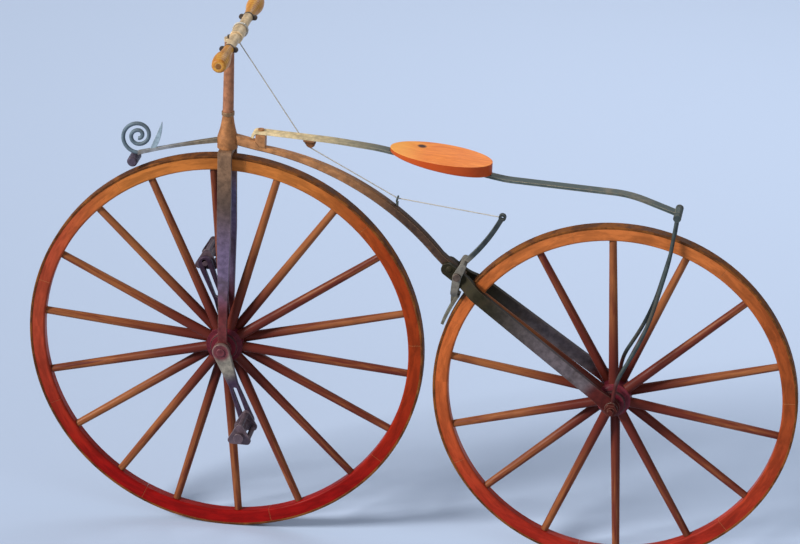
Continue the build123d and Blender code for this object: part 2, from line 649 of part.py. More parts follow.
def rear_leg():
    """A flat bar from the backbone's flank, flared round the tyre, down to the axle eye."""
    upper, flare, low = (inner + LEG_THICKNESS / 2
                         for inner in (half_backbone, LEG_FLARE_INNER, LEG_LOW_INNER))
    line = FilletPolyline(
        (leg_top, upper), (REAR_RADIUS + LEG_FLARE_START, upper),
        (REAR_RADIUS - LEG_FLARE_END, flare), (LEG_LOW_STRAIGHT, low), (-LEG_EYE_RADIUS, low),
        radius=LEG_BENDS)
    plan = trace(line, LEG_THICKNESS)
    slope = Vector(-cos(leg_angle), 0, sin(leg_angle))
    frame = Plane(origin=(REAR_HUB[0], 0, REAR_HUB[1]), x_dir=slope,
                  z_dir=slope.cross(Vector(0, 1, 0)))
    bar = extrude(frame * plan, LEG_DEPTH, both=True)
    half = LEG_DEPTH / 2
    side_view = hull_of((*on_leg(leg_top - half), half), (*on_leg(LEG_LOW_STRAIGHT), half))
    side_view += hull_of((*on_leg(LEG_LOW_STRAIGHT), half), (*REAR_HUB, LEG_EYE_RADIUS))
    side_view -= Pos(*REAR_HUB) * Circle(REAR_AXLE_RADIUS)
    return (bar & plate(side_view, 0, leg_out)) - pivot_hole - rivet_hole


both_sides("rear_leg", rear_leg)
rivet_reach = half_backbone + LEG_THICKNESS
rivet_profile = make_face([
    Line((0, -rivet_reach - RIVET_HEAD_HEIGHT), (0, rivet_reach + RIVET_HEAD_HEIGHT)),
    Line((RIVET_RADIUS, -rivet_reach), (RIVET_RADIUS, rivet_reach)),
    *[edge for way in (-1, 1) for edge in (
        Line((RIVET_RADIUS, way * rivet_reach), (RIVET_HEAD, way * rivet_reach)),
        RadiusArc((RIVET_HEAD, way * rivet_reach), (0, way * (rivet_reach + RIVET_HEAD_HEIGHT)),
                  -way * (RIVET_HEAD ** 2 + RIVET_HEAD_HEIGHT ** 2) / (2 * RIVET_HEAD_HEIGHT)))]])
parts["leg_rivet"] = [Pos(rivet_at[0], 0, rivet_at[1]) * revolve(rivet_profile, Axis.Y, 360)]

stay_eye_out = leg_out + STAY_EYE_WIDTH
nut_out = stay_eye_out + NUT_THICKNESS
stub_end = nut_out + AXLE_STUB_LENGTH
parts["rear_axle"] = [turned([
    (0, -stub_end), (AXLE_STUB_RADIUS, -stub_end), (AXLE_STUB_RADIUS, -nut_out),
    (REAR_AXLE_RADIUS, -nut_out), (REAR_AXLE_RADIUS, nut_out), (AXLE_STUB_RADIUS, nut_out),
    (AXLE_STUB_RADIUS, stub_end), (0, stub_end)], REAR_HUB)]
spacer_in = REAR_HUB_HALF + SEAT_GAP
nuts = []
for side in (-1, 1):
    nut = hexagon(NUT_FLATS, side * stay_eye_out, side * nut_out, REAR_HUB)
    spacer = rod(SPACER_RADIUS, side * spacer_in, side * LEG_LOW_INNER, REAR_HUB)
    nuts += [piece - rod(REAR_AXLE_RADIUS, -nut_out, nut_out, REAR_HUB) for piece in (nut, spacer)]
parts["rear_axle_nuts"] = nuts


# Seat spring, its bracket and the stays

half_spring = SPRING_WIDTH / 2
spring_line = [by_head(*point) for point in SPRING_FRONT]
spring_line += [over_rear(*point) for point in SPRING_BACK]
HEAD_RUN, SEAT_RUN = 1, 3     # the spring's straight runs behind its toe and under the saddle


def spring_side(run, x, way):
    """Height of the spring's upper (way 1) or lower (way -1) face on one straight run."""
    (xa, za), (xb, zb) = spring_line[run], spring_line[run + 1]
    slope = (zb - za) / (xb - xa)
    return za + slope * (x - xa) + way * SPRING_THICKNESS / 2 * hypot(1, slope)


eye_at = over_rear(*SPRING_EYE)
spring_face = trace(FilletPolyline(*spring_line, radius=SPRING_BENDS), SPRING_THICKNESS)
spring_room = plate(spring_face, -half_spring, half_spring)
spring = spring_room + rod(SPRING_EYE_RADIUS, -half_spring, half_spring, eye_at)
spring -= rod(EYE_BOLT_RADIUS, -half_spring, half_spring, eye_at)

bracket_at = by_head(*BRACKET_PLACE)
bracket_end = bracket_at[0] + BRACKET_LENGTH
bracket_view = make_face(Polyline(
    bracket_at, (bracket_end, bracket_at[1]), (bracket_end, spring_side(HEAD_RUN, bracket_end, -1)),
    (bracket_at[0], spring_side(HEAD_RUN, bracket_at[0], -1)), close=True))
bracket = plate(bracket_view, -half_backbone, half_backbone) - backbone_room - spring_room
bolt_x = bracket_at[0] + BRACKET_LENGTH / 2
bolt_seat = spring_side(HEAD_RUN, bolt_x, 1)
bolt_foot = bolt_seat - SPRING_THICKNESS - BRACKET_BOLT_DEPTH
bolt_top = bolt_seat + BRACKET_BOLT_HEAD_HEIGHT
bracket_bolt = post(BRACKET_BOLT_RADIUS, bolt_foot, bolt_top, bolt_x)
bracket_bolt += post(BRACKET_BOLT_HEAD, bolt_seat - SPRING_THICKNESS / 2, bolt_top, bolt_x) - spring_room
spring -= post(BRACKET_BOLT_RADIUS, bolt_foot, bolt_top, bolt_x)
parts["spring_bracket"] = [bracket - post(BRACKET_BOLT_RADIUS, bolt_foot, bolt_top, bolt_x),
                           bracket_bolt]


def stay():
    """A curved rod from the spring's end bolt down round the wheel to the axle."""
    low_y = STAY_POINTS[-1][1]
    points = [(eye_at[0], STAY_TOP_Y, eye_at[1])]
    points += [(REAR_HUB[0] + x, y, REAR_HUB[1] + z) for x, y, z in STAY_POINTS]
    points.append((REAR_HUB[0], low_y, REAR_HUB[1]))
    half = STAY_EYE_WIDTH / 2
    top_eye = (STAY_TOP_Y - half, STAY_TOP_Y + half)
    low_eye = (low_y - half, low_y + half)
    piece = pipe(points, STAY_BENDS, STAY_RADIUS)
    piece -= rod(SPRING_EYE_RADIUS, 0, nut_out, eye_at)
    piece += rod(SPRING_EYE_RADIUS, *top_eye, eye_at)
    piece -= rod(STAY_EYE_RADIUS, 0, nut_out, REAR_HUB)
    piece += rod(STAY_EYE_RADIUS, *low_eye, REAR_HUB)
    piece -= rod(EYE_BOLT_RADIUS, *top_eye, eye_at)
    return piece - rod(REAR_AXLE_RADIUS, *low_eye, REAR_HUB)


both_sides("stay", stay)
stay_in = STAY_TOP_Y - STAY_EYE_WIDTH / 2
stay_out = STAY_TOP_Y + STAY_EYE_WIDTH / 2
bolt_end = stay_out + EYE_BOLT_HEAD
parts["spring_eye_bolt"] = [turned([
    (0, -bolt_end), (SPRING_EYE_RADIUS, -bolt_end), (SPRING_EYE_RADIUS, -stay_out),
    (EYE_BOLT_RADIUS, -stay_out), (EYE_BOLT_RADIUS, -stay_in), (SPRING_EYE_RADIUS, -stay_in),
    (SPRING_EYE_RADIUS, -half_spring), (EYE_BOLT_RADIUS, -half_spring),
    (EYE_BOLT_RADIUS, half_spring), (SPRING_EYE_RADIUS, half_spring), (SPRING_EYE_RADIUS, stay_in),
    (EYE_BOLT_RADIUS, stay_in), (EYE_BOLT_RADIUS, stay_out), (SPRING_EYE_RADIUS, stay_out),
    (SPRING_EYE_RADIUS, bolt_end), (0, bolt_end)], eye_at)]


# Saddle

saddle_x = HEAD[0] + SADDLE_PLACE
saddle_ends = (saddle_x - SADDLE_LENGTH / 2, saddle_x + SADDLE_LENGTH / 2)
saddle_under = [spring_side(SEAT_RUN, x, 1) for x in saddle_ends]
saddle_over = [saddle_under[0] + SADDLE_FRONT_THICKNESS, saddle_under[1] + SADDLE_BACK_THICKNESS]
saddle_view = make_face(Polyline(
    (saddle_ends[0], saddle_under[0]), (saddle_ends[1], saddle_under[1]),
    (saddle_ends[1], saddle_over[1]), (saddle_ends[0], saddle_over[0]), close=True))
saddle_plan = Pos(saddle_x, 0, min(saddle_under)) * Ellipse(SADDLE_LENGTH / 2, SADDLE_WIDTH / 2)
saddle = extrude(saddle_plan, max(saddle_over) - min(saddle_under))
saddle &= plate(saddle_view, -SADDLE_WIDTH, SADDLE_WIDTH)
saddle_bed = saddle.faces().filter_by(GeomType.PLANE).sort_by(Axis.Z)[0]
saddle = fillet(saddle_bed.edges(), SADDLE_EDGE) - spring_room
screws = []
for place in SCREW_PLACES:
    x = saddle_x + place
    seat = spring_side(SEAT_RUN, x, 1)
    under = spring_side(SEAT_RUN, x, -1)
    shank = post(SCREW_RADIUS, under - SCREW_HEAD_HEIGHT, seat + SCREW_DEPTH, x)
    saddle -= shank
    spring -= shank
    head = post(SCREW_HEAD, under - SCREW_HEAD_HEIGHT, under + SPRING_THICKNESS / 2, x) - spring_room
    screws.append(shank + head)
parts["saddle"] = [saddle]
parts["saddle_bolts"] = screws
parts["seat_spring"] = [spring]


# Brake

eye_end = by_tyre(*LEVER_EYE)
bridge_at = by_tyre(*LEVER_BRIDGE)
shoe_pin_at = by_tyre(*SHOE_PIN)
half_lever = LEVER_THICKNESS / 2
cheek_out = CHEEK_INNER + CHEEK_THICKNESS
cheek_view = hull_of((*bridge_at, BRIDGE_RADIUS), (*pivot_at, CHEEK_PIVOT_RADIUS))
cheek_view += hull_of((*pivot_at, CHEEK_PIVOT_RADIUS), (*shoe_pin_at, CHEEK_END_RADIUS))
cheek_view -= Pos(*pivot_at) * Circle(PIVOT_BOLT_RADIUS)
arm = trace(ThreePointArc(eye_end, by_tyre(*LEVER_ARM), bridge_at), LEVER_WIDTH)
lever = plate(arm, -half_lever, half_lever)
lever += plate(Pos(*eye_end) * Circle(LEVER_EYE_RADIUS), -half_lever, half_lever)
lever -= rod(LEVER_HOLE_RADIUS, -half_lever, half_lever, eye_end)
lever += rod(BRIDGE_RADIUS, -CHEEK_INNER, CHEEK_INNER, bridge_at)
for side in (-1, 1):
    lever += plate(cheek_view, side * CHEEK_INNER, side * cheek_out)
lever += rod(SHOE_PIN_RADIUS, -CHEEK_INNER, CHEEK_INNER, shoe_pin_at)
parts["brake_lever"] = [lever]
bolt = rod(PIVOT_BOLT_RADIUS, -cheek_out, cheek_out, pivot_at)
for side in (-1, 1):
    bolt += rod(PIVOT_HEAD_RADIUS, side * cheek_out, side * (cheek_out + PIVOT_HEAD), pivot_at)
parts["brake_pivot_bolt"] = [bolt]


def about_rear(radius, below):
    """A side-view point about the rear axle, at an angle below the legs' line."""
    turn = leg_angle - radians(below)
    return (REAR_HUB[0] - radius * cos(turn), REAR_HUB[1] + radius * sin(turn))


shoe_in = REAR_RADIUS + TYRE_TO_SHOE
shoe_out = shoe_in + SHOE_THICKNESS
shoe_middle = (SHOE_TOP_BELOW + SHOE_LOW_BELOW) / 2
shoe_view = make_face([
    Line(about_rear(shoe_in, SHOE_TOP_BELOW), about_rear(shoe_out, SHOE_TOP_BELOW)),
    ThreePointArc(*[about_rear(shoe_out, k) for k in (SHOE_TOP_BELOW, shoe_middle, SHOE_LOW_BELOW)]),
    Line(about_rear(shoe_out, SHOE_LOW_BELOW), about_rear(shoe_in, SHOE_LOW_BELOW)),
    ThreePointArc(*[about_rear(shoe_in, k) for k in (SHOE_LOW_BELOW, shoe_middle, SHOE_TOP_BELOW)])])
lug_foot = about_rear(shoe_in + SHOE_THICKNESS / 2, SHOE_LUG_BELOW)
lug_view = hull_of((*shoe_pin_at, SHOE_LUG_RADIUS), (*lug_foot, SHOE_THICKNESS / 2))
shoe = plate(shoe_view, -SHOE_WIDTH / 2, SHOE_WIDTH / 2)
shoe += plate(lug_view, -SHOE_LUG_HALF, SHOE_LUG_HALF)
parts["brake_shoe"] = [shoe - rod(SHOE_PIN_RADIUS, -SHOE_LUG_HALF, SHOE_LUG_HALF, shoe_pin_at)]


# Brake cord: from under the bar, round the sheave, through the eyelet, to the lever

sheave_corner = by_head(*CORD_AT_SHEAVE)
eyelet_corner = over_tyre(*CORD_AT_EYELET)
from_bar = Vector(sheave_corner[0] - bar_at[0], 0, sheave_corner[1] - bar_at[1])
winding = BAR_EYE_RADIUS + CORD_RADIUS + SEAT_GAP
leaving = atan2(from_bar.Z, from_bar.X) - acos(winding / from_bar.length)
cord_route = [
    Vector(bar_at[0] + winding * cos(leaving), CORD_SIDE, bar_at[1] + winding * sin(leaving)),
    Vector(sheave_corner[0], CORD_SIDE, sheave_corner[1]),
    Vector(eyelet_corner[0], EYELET_SIDE, eyelet_corner[1]),
    Vector(eye_end[0] - LEVER_EYE_RADIUS + CORD_RADIUS, 0, eye_end[1])]
before = (cord_route[1] - cord_route[0]).normalized()
after = (cord_route[2] - cord_route[1]).normalized()
half_turn = radians(before.get_angle(after)) / 2
wrap = SHEAVE_RADIUS + CORD_RADIUS + SEAT_GAP
centre = cord_route[1] + (after - before).normalized() * (wrap / cos(half_turn))
sheave_at = (centre.X, centre.Z)
guide_top = spring_side(HEAD_RUN, sheave_at[0], -1)
guide_low = guide_top - GUIDE_THICKNESS
guide_view = make_face(Polyline(
    (sheave_at[0] - GUIDE_LENGTH / 2, guide_low), (sheave_at[0] + GUIDE_LENGTH / 2, guide_low),
    (sheave_at[0] + GUIDE_LENGTH / 2, guide_top), (sheave_at[0] - GUIDE_LENGTH / 2, guide_top), close=True))
guide = plate(guide_view, -GUIDE_LEFT, GUIDE_RIGHT)
ear_corners = [(sheave_at[0] + way * (GUIDE_EAR - GUIDE_EAR_CORNER), guide_low, GUIDE_EAR_CORNER)
               for way in (-1, 1)]
ear_view = hull_of((*sheave_at, GUIDE_EAR), *ear_corners)
ear_in = SHEAVE_HALF + SEAT_GAP
ear_out = ear_in + GUIDE_EAR_THICKNESS
for way in (-1, 1):
    guide += plate(ear_view, CORD_SIDE + way * ear_in, CORD_SIDE + way * ear_out)
guide += rod(SHEAVE_PIN_RADIUS, CORD_SIDE - ear_out, CORD_SIDE + ear_out, sheave_at)
parts["cord_guide"] = [guide - spring_room]
sheave_faces = (CORD_SIDE - SHEAVE_HALF, CORD_SIDE + SHEAVE_HALF)
parts["cord_sheave"] = [rod(SHEAVE_RADIUS, *sheave_faces, sheave_at)
                        - rod(SHEAVE_PIN_RADIUS + RUNNING_GAP, *sheave_faces, sheave_at)]

ring_at = cord_route[2] - Vector(0, 0, CORD_RADIUS)
ring_way = (cord_route[3] - cord_route[1]).normalized()
stalk_top = ring_at.Z - EYELET_RADIUS
stalk = Pos(0, ring_at.Y, 0) * post(EYELET_STALK_RADIUS, stalk_top - EYELET_STALK, stalk_top, ring_at.X)
ring = Plane(origin=ring_at, z_dir=ring_way) * Torus(EYELET_RADIUS, EYELET_WIRE)
parts["cord_eyelet"] = [ring + (stalk - backbone_room)]

cord_path = FilletPolyline(*cord_route, radius=[wrap, CORD_EYELET_BEND])
upper = Wire(cord_path.edges()[:2])
lower = Wire(cord_path.edges()[2:])
print("cord bends", wrap, CORD_EYELET_BEND, "length", upper.length + lower.length)
print("cord corners", cord_route)
for name, wire in (("brake_cord_upper", upper), ("brake_cord_lower", lower)):
    start = Plane(origin=wire @ 0, z_dir=wire % 0)
    parts[name] = [sweep(start * Circle(CORD_RADIUS), path=wire) - lever]


# Leg rest

rest_at = by_head(*REST_PLACE)
stem_top = [by_head(*point) for point in STEM_TOP] + [(rest_at[0], rest_at[1] + SCROLL_RADIUS)]
stem_low = [by_head(*point) for point in STEM_LOW] + [(rest_at[0], rest_at[1] - SCROLL_RADIUS)]
stem_view = make_face([
    ThreePointArc(*stem_top), Line(stem_top[-1], stem_low[-1]), ThreePointArc(*reversed(stem_low)),
    Line(stem_low[0], stem_top[0])])
stem_plan = make_face(Polyline(
    (stem_top[0][0], -STEM_ROOT_WIDTH / 2), (stem_top[0][0], STEM_ROOT_WIDTH / 2),
    (rest_at[0], SCROLL_RADIUS), (rest_at[0], -SCROLL_RADIUS), close=True))
stem_slab = extrude(Pos(0, 0, stem_low[-1][1]) * stem_plan, stem_top[0][1] - stem_low[-1][1])
stem = plate(stem_view, -STEM_ROOT_WIDTH, STEM_ROOT_WIDTH) & stem_slab
stem -= socket_room
parts["leg_rest_stem"] = [stem]

turns = []
x, z = rest_at
way = 1
for radius in SCROLL_TURNS:
    far = z + 2 * way * radius
    turns.append(ThreePointArc((x, 0, z), (x - way * radius, 0, z + way * radius), (x, 0, far)))
    z = far
    way = -way
scroll_wire = Wire(turns)
scroll_start = Plane(origin=scroll_wire @ 0, z_dir=scroll_wire % 0)
scroll = sweep(scroll_start * Circle(SCROLL_RADIUS), path=scroll_wire)
parts["leg_rest_scroll"] = [scroll]

leaf_outer, leaf_inner = ([(rest_at[0] + dx, rest_at[1] + dz) for dx, dz in row]
                          for row in (LEAF_OUTER, LEAF_INNER))
leaf = make_face([ThreePointArc(*leaf_outer), ThreePointArc(*leaf_inner),
                  Line(leaf_inner[-1], leaf_outer[0])])
parts["leg_rest_leaf"] = [plate(leaf, -LEAF_THICKNESS / 2, LEAF_THICKNESS / 2) - stem]
bar_middle = (rest_at[0] + REST_BAR_PLACE[0], rest_at[1] + REST_BAR_PLACE[1])
parts["leg_rest_bar"] = [turned([
    (0, -REST_BAR_HALF), (REST_BAR_RADIUS - REST_BAR_EDGE, -REST_BAR_HALF),
    (REST_BAR_RADIUS, -REST_BAR_HALF + REST_BAR_EDGE), (REST_BAR_RADIUS, REST_BAR_HALF - REST_BAR_EDGE),
    (REST_BAR_RADIUS - REST_BAR_EDGE, REST_BAR_HALF), (0, REST_BAR_HALF)], bar_middle) - stem - scroll]


# Writing: the origin is the middle of the saddle's top

seat = Vector(saddle_x, 0, (saddle_over[0] + saddle_over[1]) / 2)
print("seat", seat.X, seat.Z, "bar", bar_at, "head", HEAD, "rear axle", REAR_HUB)
print("cranks", CRANK_INNER, crank_outer, "pedals", pedal_inner, pedal_outer)
os.makedirs("parts", exist_ok=True)
for node, solids in parts.items():
    moved = [Pos(-seat) * solid for solid in solids]
    flat = [piece for solid in moved for piece in solid.solids()]
    shape = flat[0] if len(flat) == 1 else Compound(children=flat)
    export_step(shape, "parts/" + node + ".step")
    print(node, len(flat), "solids")
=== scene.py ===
# Wooden-wheeled velocipede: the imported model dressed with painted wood, worn iron and a laid cord.
import math

import bpy
from mathutils import Matrix, Vector


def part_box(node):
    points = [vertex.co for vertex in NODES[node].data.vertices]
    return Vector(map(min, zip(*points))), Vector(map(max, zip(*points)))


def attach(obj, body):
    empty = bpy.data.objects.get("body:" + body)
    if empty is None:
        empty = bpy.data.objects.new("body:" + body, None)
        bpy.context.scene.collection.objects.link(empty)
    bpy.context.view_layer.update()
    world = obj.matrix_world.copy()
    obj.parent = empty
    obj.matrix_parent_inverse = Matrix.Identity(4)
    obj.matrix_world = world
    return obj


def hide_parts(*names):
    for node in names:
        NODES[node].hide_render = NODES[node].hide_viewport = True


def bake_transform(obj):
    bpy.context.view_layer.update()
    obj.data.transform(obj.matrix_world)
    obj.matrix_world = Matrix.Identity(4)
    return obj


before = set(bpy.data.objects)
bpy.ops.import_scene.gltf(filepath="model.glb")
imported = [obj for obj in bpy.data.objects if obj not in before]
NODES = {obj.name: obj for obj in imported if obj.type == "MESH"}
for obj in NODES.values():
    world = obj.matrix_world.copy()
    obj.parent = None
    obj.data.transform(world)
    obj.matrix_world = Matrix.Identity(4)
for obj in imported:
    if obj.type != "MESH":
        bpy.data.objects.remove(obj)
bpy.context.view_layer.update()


def middle(node):
    """The middle of a CAD node's box."""
    low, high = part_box(node)
    return (low + high) / 2


# Places and sizes in metres, from the saddle's top: X backwards, Y to the rider's right, Z up
FRONT_RADIUS = 0.457          # over the iron tyre
BAR_BACK = 0.020              # the bar lies this far behind the head's middle
FRONT_HUB = middle("front_hub")
REAR_HUB = middle("rear_hub")
BAR = middle("handlebar")
BRAKE_PIVOT = middle("brake_pivot_bolt")
HEAD = Vector((BAR.x - BAR_BACK, 0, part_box("head_socket")[0].z))      # the head's lower end
GROUND = FRONT_HUB.z - FRONT_RADIUS

# Camera, as fitted to both rims and the spokes in the photograph
PHOTO_WIDTH = 800
FOCAL_LENGTH = 3952           # in the photograph's pixels
SENSOR_WIDTH = 36             # millimetres
CAMERA_PLACE = (1.061, -8.151, 3.1111)
CAMERA_YAW = math.radians(7.99)
CAMERA_PITCH = math.radians(22.46)
CAMERA_ROLL = math.radians(2.17)
CAMERA_REACH = 100            # metres


def set_camera():
    """The photograph's view."""
    ahead = Vector((-math.sin(CAMERA_YAW) * math.cos(CAMERA_PITCH),
                    math.cos(CAMERA_YAW) * math.cos(CAMERA_PITCH),
                    -math.sin(CAMERA_PITCH)))
    right = Vector((math.cos(CAMERA_YAW), math.sin(CAMERA_YAW), 0))
    up = right.cross(ahead)
    across = math.cos(CAMERA_ROLL) * right + math.sin(CAMERA_ROLL) * up
    upward = -math.sin(CAMERA_ROLL) * right + math.cos(CAMERA_ROLL) * up
    turn = Matrix((across, upward, -ahead)).transposed().to_4x4()
    data = bpy.data.cameras.new("camera")
    data.sensor_width = SENSOR_WIDTH
    data.lens = FOCAL_LENGTH / PHOTO_WIDTH * SENSOR_WIDTH
    data.clip_end = CAMERA_REACH
    camera = bpy.data.objects.new("camera", data)
    camera.matrix_world = Matrix.Translation(CAMERA_PLACE) @ turn
    bpy.context.scene.collection.objects.link(camera)
    bpy.context.scene.camera = camera


set_camera()


# Node helpers

EDGE_ROUNDING = 0.0014        # metres over which the rounded normal softens an edge
COAT_ROUGHNESS = 0.3
BLACK = (0, 0, 0)

materials = {}                # every material by the name that Paint was given


class Paint:
    """Short calls for one material's node tree."""

    def __init__(self, name):
        material = bpy.data.materials.new(name)
        materials[name] = material
        material.use_nodes = True
        self.tree = material.node_tree
        self.tree.nodes.clear()
        self.bsdf = self.add("ShaderNodeBsdfPrincipled")
        out = self.add("ShaderNodeOutputMaterial")
        self.tree.links.new(self.bsdf.outputs[0], out.inputs["Surface"])
        self.place = self.add("ShaderNodeTexCoord").outputs["Object"]
        self.facing = self.add("ShaderNodeNewGeometry").outputs["Normal"]
        self.soft = self.add("ShaderNodeBevel", samples=6)
        self.soft.inputs["Radius"].default_value = EDGE_ROUNDING

    def add(self, kind, **settings):
        node = self.tree.nodes.new(kind)
        for key, value in settings.items():
            setattr(node, key, value)
        return node

    def put(self, socket, value):
        """Links an output to a socket, or writes a plain value in it."""
        if isinstance(value, bpy.types.NodeSocket):
            self.tree.links.new(value, socket)
        elif isinstance(value, (tuple, list, Vector)) and len(value) == 3 and socket.type == "RGBA":
            socket.default_value = (*value, 1)
        else:
            socket.default_value = value

    def math(self, how, a, b=0.0):
        node = self.add("ShaderNodeMath", operation=how)
        self.put(node.inputs[0], a)
        self.put(node.inputs[1], b)
        return node.outputs[0]

    def plus(self, a, b):
        return self.math("ADD", a, b)

    def minus(self, a, b):
        return self.math("SUBTRACT", a, b)

    def times(self, a, b):
        return self.math("MULTIPLY", a, b)

    def length(self, a, b):
        """The long side over two sides at a right angle."""
        return self.math("SQRT", self.plus(self.times(a, a), self.times(b, b)))

    def vec(self, x, y, z):
        node = self.add("ShaderNodeCombineXYZ")
        for socket, value in zip(node.inputs, (x, y, z)):
            self.put(socket, value)
        return node.outputs[0]

    def drawn(self, ways, factors):
        """A place with each way multiplied by its factor, so that noise is drawn out."""
        return self.vec(*(self.times(way, factor) for way, factor in zip(ways, factors)))

    def split(self, vector):
        node = self.add("ShaderNodeSeparateXYZ")
        self.put(node.inputs[0], vector)
        return node.outputs

    def away_from(self, place):
        """The three distances from a place."""
        node = self.add("ShaderNodeVectorMath", operation="SUBTRACT")
        self.put(node.inputs[0], self.place)
        self.put(node.inputs[1], place)
        return self.split(node.outputs[0])

    def noise(self, vector, scale, detail=4.0, rough=0.55, warp=0.0):
        node = self.add("ShaderNodeTexNoise")
        values = {"Vector": vector, "Scale": scale, "Detail": detail, "Roughness": rough, "Distortion": warp}
        for name, value in values.items():
            self.put(node.inputs[name], value)
        return node.outputs["Fac"]

    def ramp(self, value, start, stop, first=0.0, last=1.0):
        """Goes smoothly from first to last while the value goes from start to stop."""
        node = self.add("ShaderNodeMapRange", interpolation_type="SMOOTHSTEP")
        for socket, number in zip(node.inputs, (value, start, stop, first, last)):
            self.put(socket, number)
        return node.outputs[0]

    def mix(self, factor, a, b):
        node = self.add("ShaderNodeMix", data_type="RGBA", clamp_factor=True)
        self.put(node.inputs["Factor"], factor)
        self.put(node.inputs[6], a)
        self.put(node.inputs[7], b)
        return node.outputs[2]

    def polar(self, centre):
        """(angle, radius, y) about a wheel's axle."""
        x, y, z = self.away_from(centre)
        return self.math("ARCTAN2", z, x), self.length(x, z), y

    def edges(self):
        """1 on convex edges and 0 on flats, from the rounded normal."""
        dot = self.add("ShaderNodeVectorMath", operation="DOT_PRODUCT")
        self.put(dot.inputs[0], self.soft.outputs[0])
        self.put(dot.inputs[1], self.facing)
        return self.ramp(dot.outputs["Value"], 0.99, 0.90)

    def bump(self, height, strength, depth):
        """Relief over the rounded normal, so that edges catch the light."""
        node = self.add("ShaderNodeBump")
        self.put(node.inputs["Height"], height)
        self.put(node.inputs["Normal"], self.soft.outputs[0])
        node.inputs["Strength"].default_value = strength
        node.inputs["Distance"].default_value = depth
        self.put(self.bsdf.inputs["Normal"], node.outputs[0])

    def finish(self, colour, rough, metal=0.0, coat=0.0, spec=0.3):
        self.put(self.bsdf.inputs["Base Color"], colour)
        self.put(self.bsdf.inputs["Roughness"], rough)
        self.bsdf.inputs["Metallic"].default_value = metal
        self.bsdf.inputs["Coat Weight"].default_value = coat
        self.bsdf.inputs["Coat Roughness"].default_value = COAT_ROUGHNESS
        self.bsdf.inputs["Specular IOR Level"].default_value = spec


def darker(colour, share):
    return tuple(c * share for c in colour)


# Wood

# Grain is noise whose places are multiplied by a low factor along the grain, and by high ones
# across it
FELLOE_GRAIN = (2.4, 34.0, 30.0)      # a radian round the rim, across it and outwards
SPOKE_ALONG, SPOKE_ACROSS = 2.6, 40.0
SPOKE_ROUND = 5.0                     # round the wheel, for the turn from one spoke to the next
SPOKE_SHIFT = 7.3                     # moves each spoke to another place in the noise
TURNED_GRAIN = (46.0, 5.0, 46.0)      # in X, Y and Z
BOARD_GRAIN = (5.0, 46.0, 46.0)       # in X, Y and Z
TOOL_RINGS = 900.0                    # radians a metre, so 7 mm from ring to ring
GRIP_RINGS = 700.0
RING_TONE = 0.18                      # how far a tool ring moves the tone
OWN_GRAIN = 0.65                      # the grain's share of the streaks, beside rings or tones
SOOT_SHADE = 0.5                      # how much darker grime is than the dark grain

# a rim's colours: top, low, fore, aft
FRONT_RIM = [(0.50, 0.160, 0.034), (0.27, 0.005, 0.004), (0.39, 0.060, 0.026), (0.27, 0.034, 0.006)]
REAR_RIM = [(0.50, 0.143, 0.036), (0.33, 0.020, 0.010), (0.50, 0.115, 0.028), (0.28, 0.060, 0.014)]
RIM_WORN = (0.56, 0.24, 0.09)
RIM_SHADE = 0.34                      # how much darker a rim's dark grain is than its light grain
# metres from the axle between which a rim turns to these colours
LOW_FADE, FORE_FADE, AFT_FADE = (0.10, -0.36), (-0.20, -0.43), (0.12, 0.40)

SPOKE_LIGHT, SPOKE_DARK, SPOKE_WORN = (0.270, 0.092, 0.030), (0.098, 0.017, 0.011), (0.44, 0.19, 0.08)
SPOKE_FADE = (0.07, 0.29)             # metres from the axle between which a spoke grows lighter

SADDLE_LIGHT, SADDLE_DARK = (0.90, 0.275, 0.038), (0.74, 0.175, 0.020)
# the side colour is painted shade, laid on faces turned away from the top
SADDLE_NOSE, SADDLE_SIDE_SHADE = (0.97, 0.46, 0.075), (0.37, 0.042, 0.009)
NOSE_FADE = (-0.02, -0.11)            # in X
KNOT_COLOUR = (0.05, 0.012, 0.006)
KNOT_PLACE = (-0.048, 0.030, 0)
KNOT_EDGE = (0.013, 0.006)            # metres from its middle between which the knot begins
KNOT_REACH, KNOT_PULL = 0.05, 0.02    # the grain bends round it that far out, by that much


def wood(paint, space, light, dark, worn, tone=None, rough=0.42, coat=0.1, wear=0.5, spec=0.15):
    """Old painted wood: long streaks along the grain, pores, grime and paler worn edges."""
    long = paint.noise(space, scale=3.1, detail=6.0, rough=0.62, warp=0.6)
    fine = paint.noise(space, scale=16.0, rough=0.7)
    blotch = paint.noise(paint.place, scale=9.0, detail=3.0, rough=0.5)
    streak = long
    if tone is not None:
        streak = paint.plus(paint.times(long, OWN_GRAIN), paint.times(tone, 1 - OWN_GRAIN))
    colour = paint.mix(paint.ramp(streak, 0.35, 0.65), dark, light)
    soot = paint.mix(SOOT_SHADE, dark, BLACK)
    colour = paint.mix(paint.ramp(blotch, 0.52, 0.74, last=0.38), colour, soot)
    colour = paint.mix(paint.ramp(fine, 0.56, 0.69, last=0.42), colour, soot)
    rub = paint.times(paint.edges(), paint.ramp(blotch, 0.38, 0.6, first=wear * 0.4, last=wear))
    colour = paint.mix(rub, colour, worn)
    roughness = paint.ramp(paint.plus(fine, blotch), 0.7, 1.4, first=rough - 0.08, last=rough + 0.18)
    paint.bump(paint.plus(paint.times(fine, 0.7), long), strength=0.35, depth=0.0006)
    paint.finish(colour, roughness, coat=coat, spec=spec)


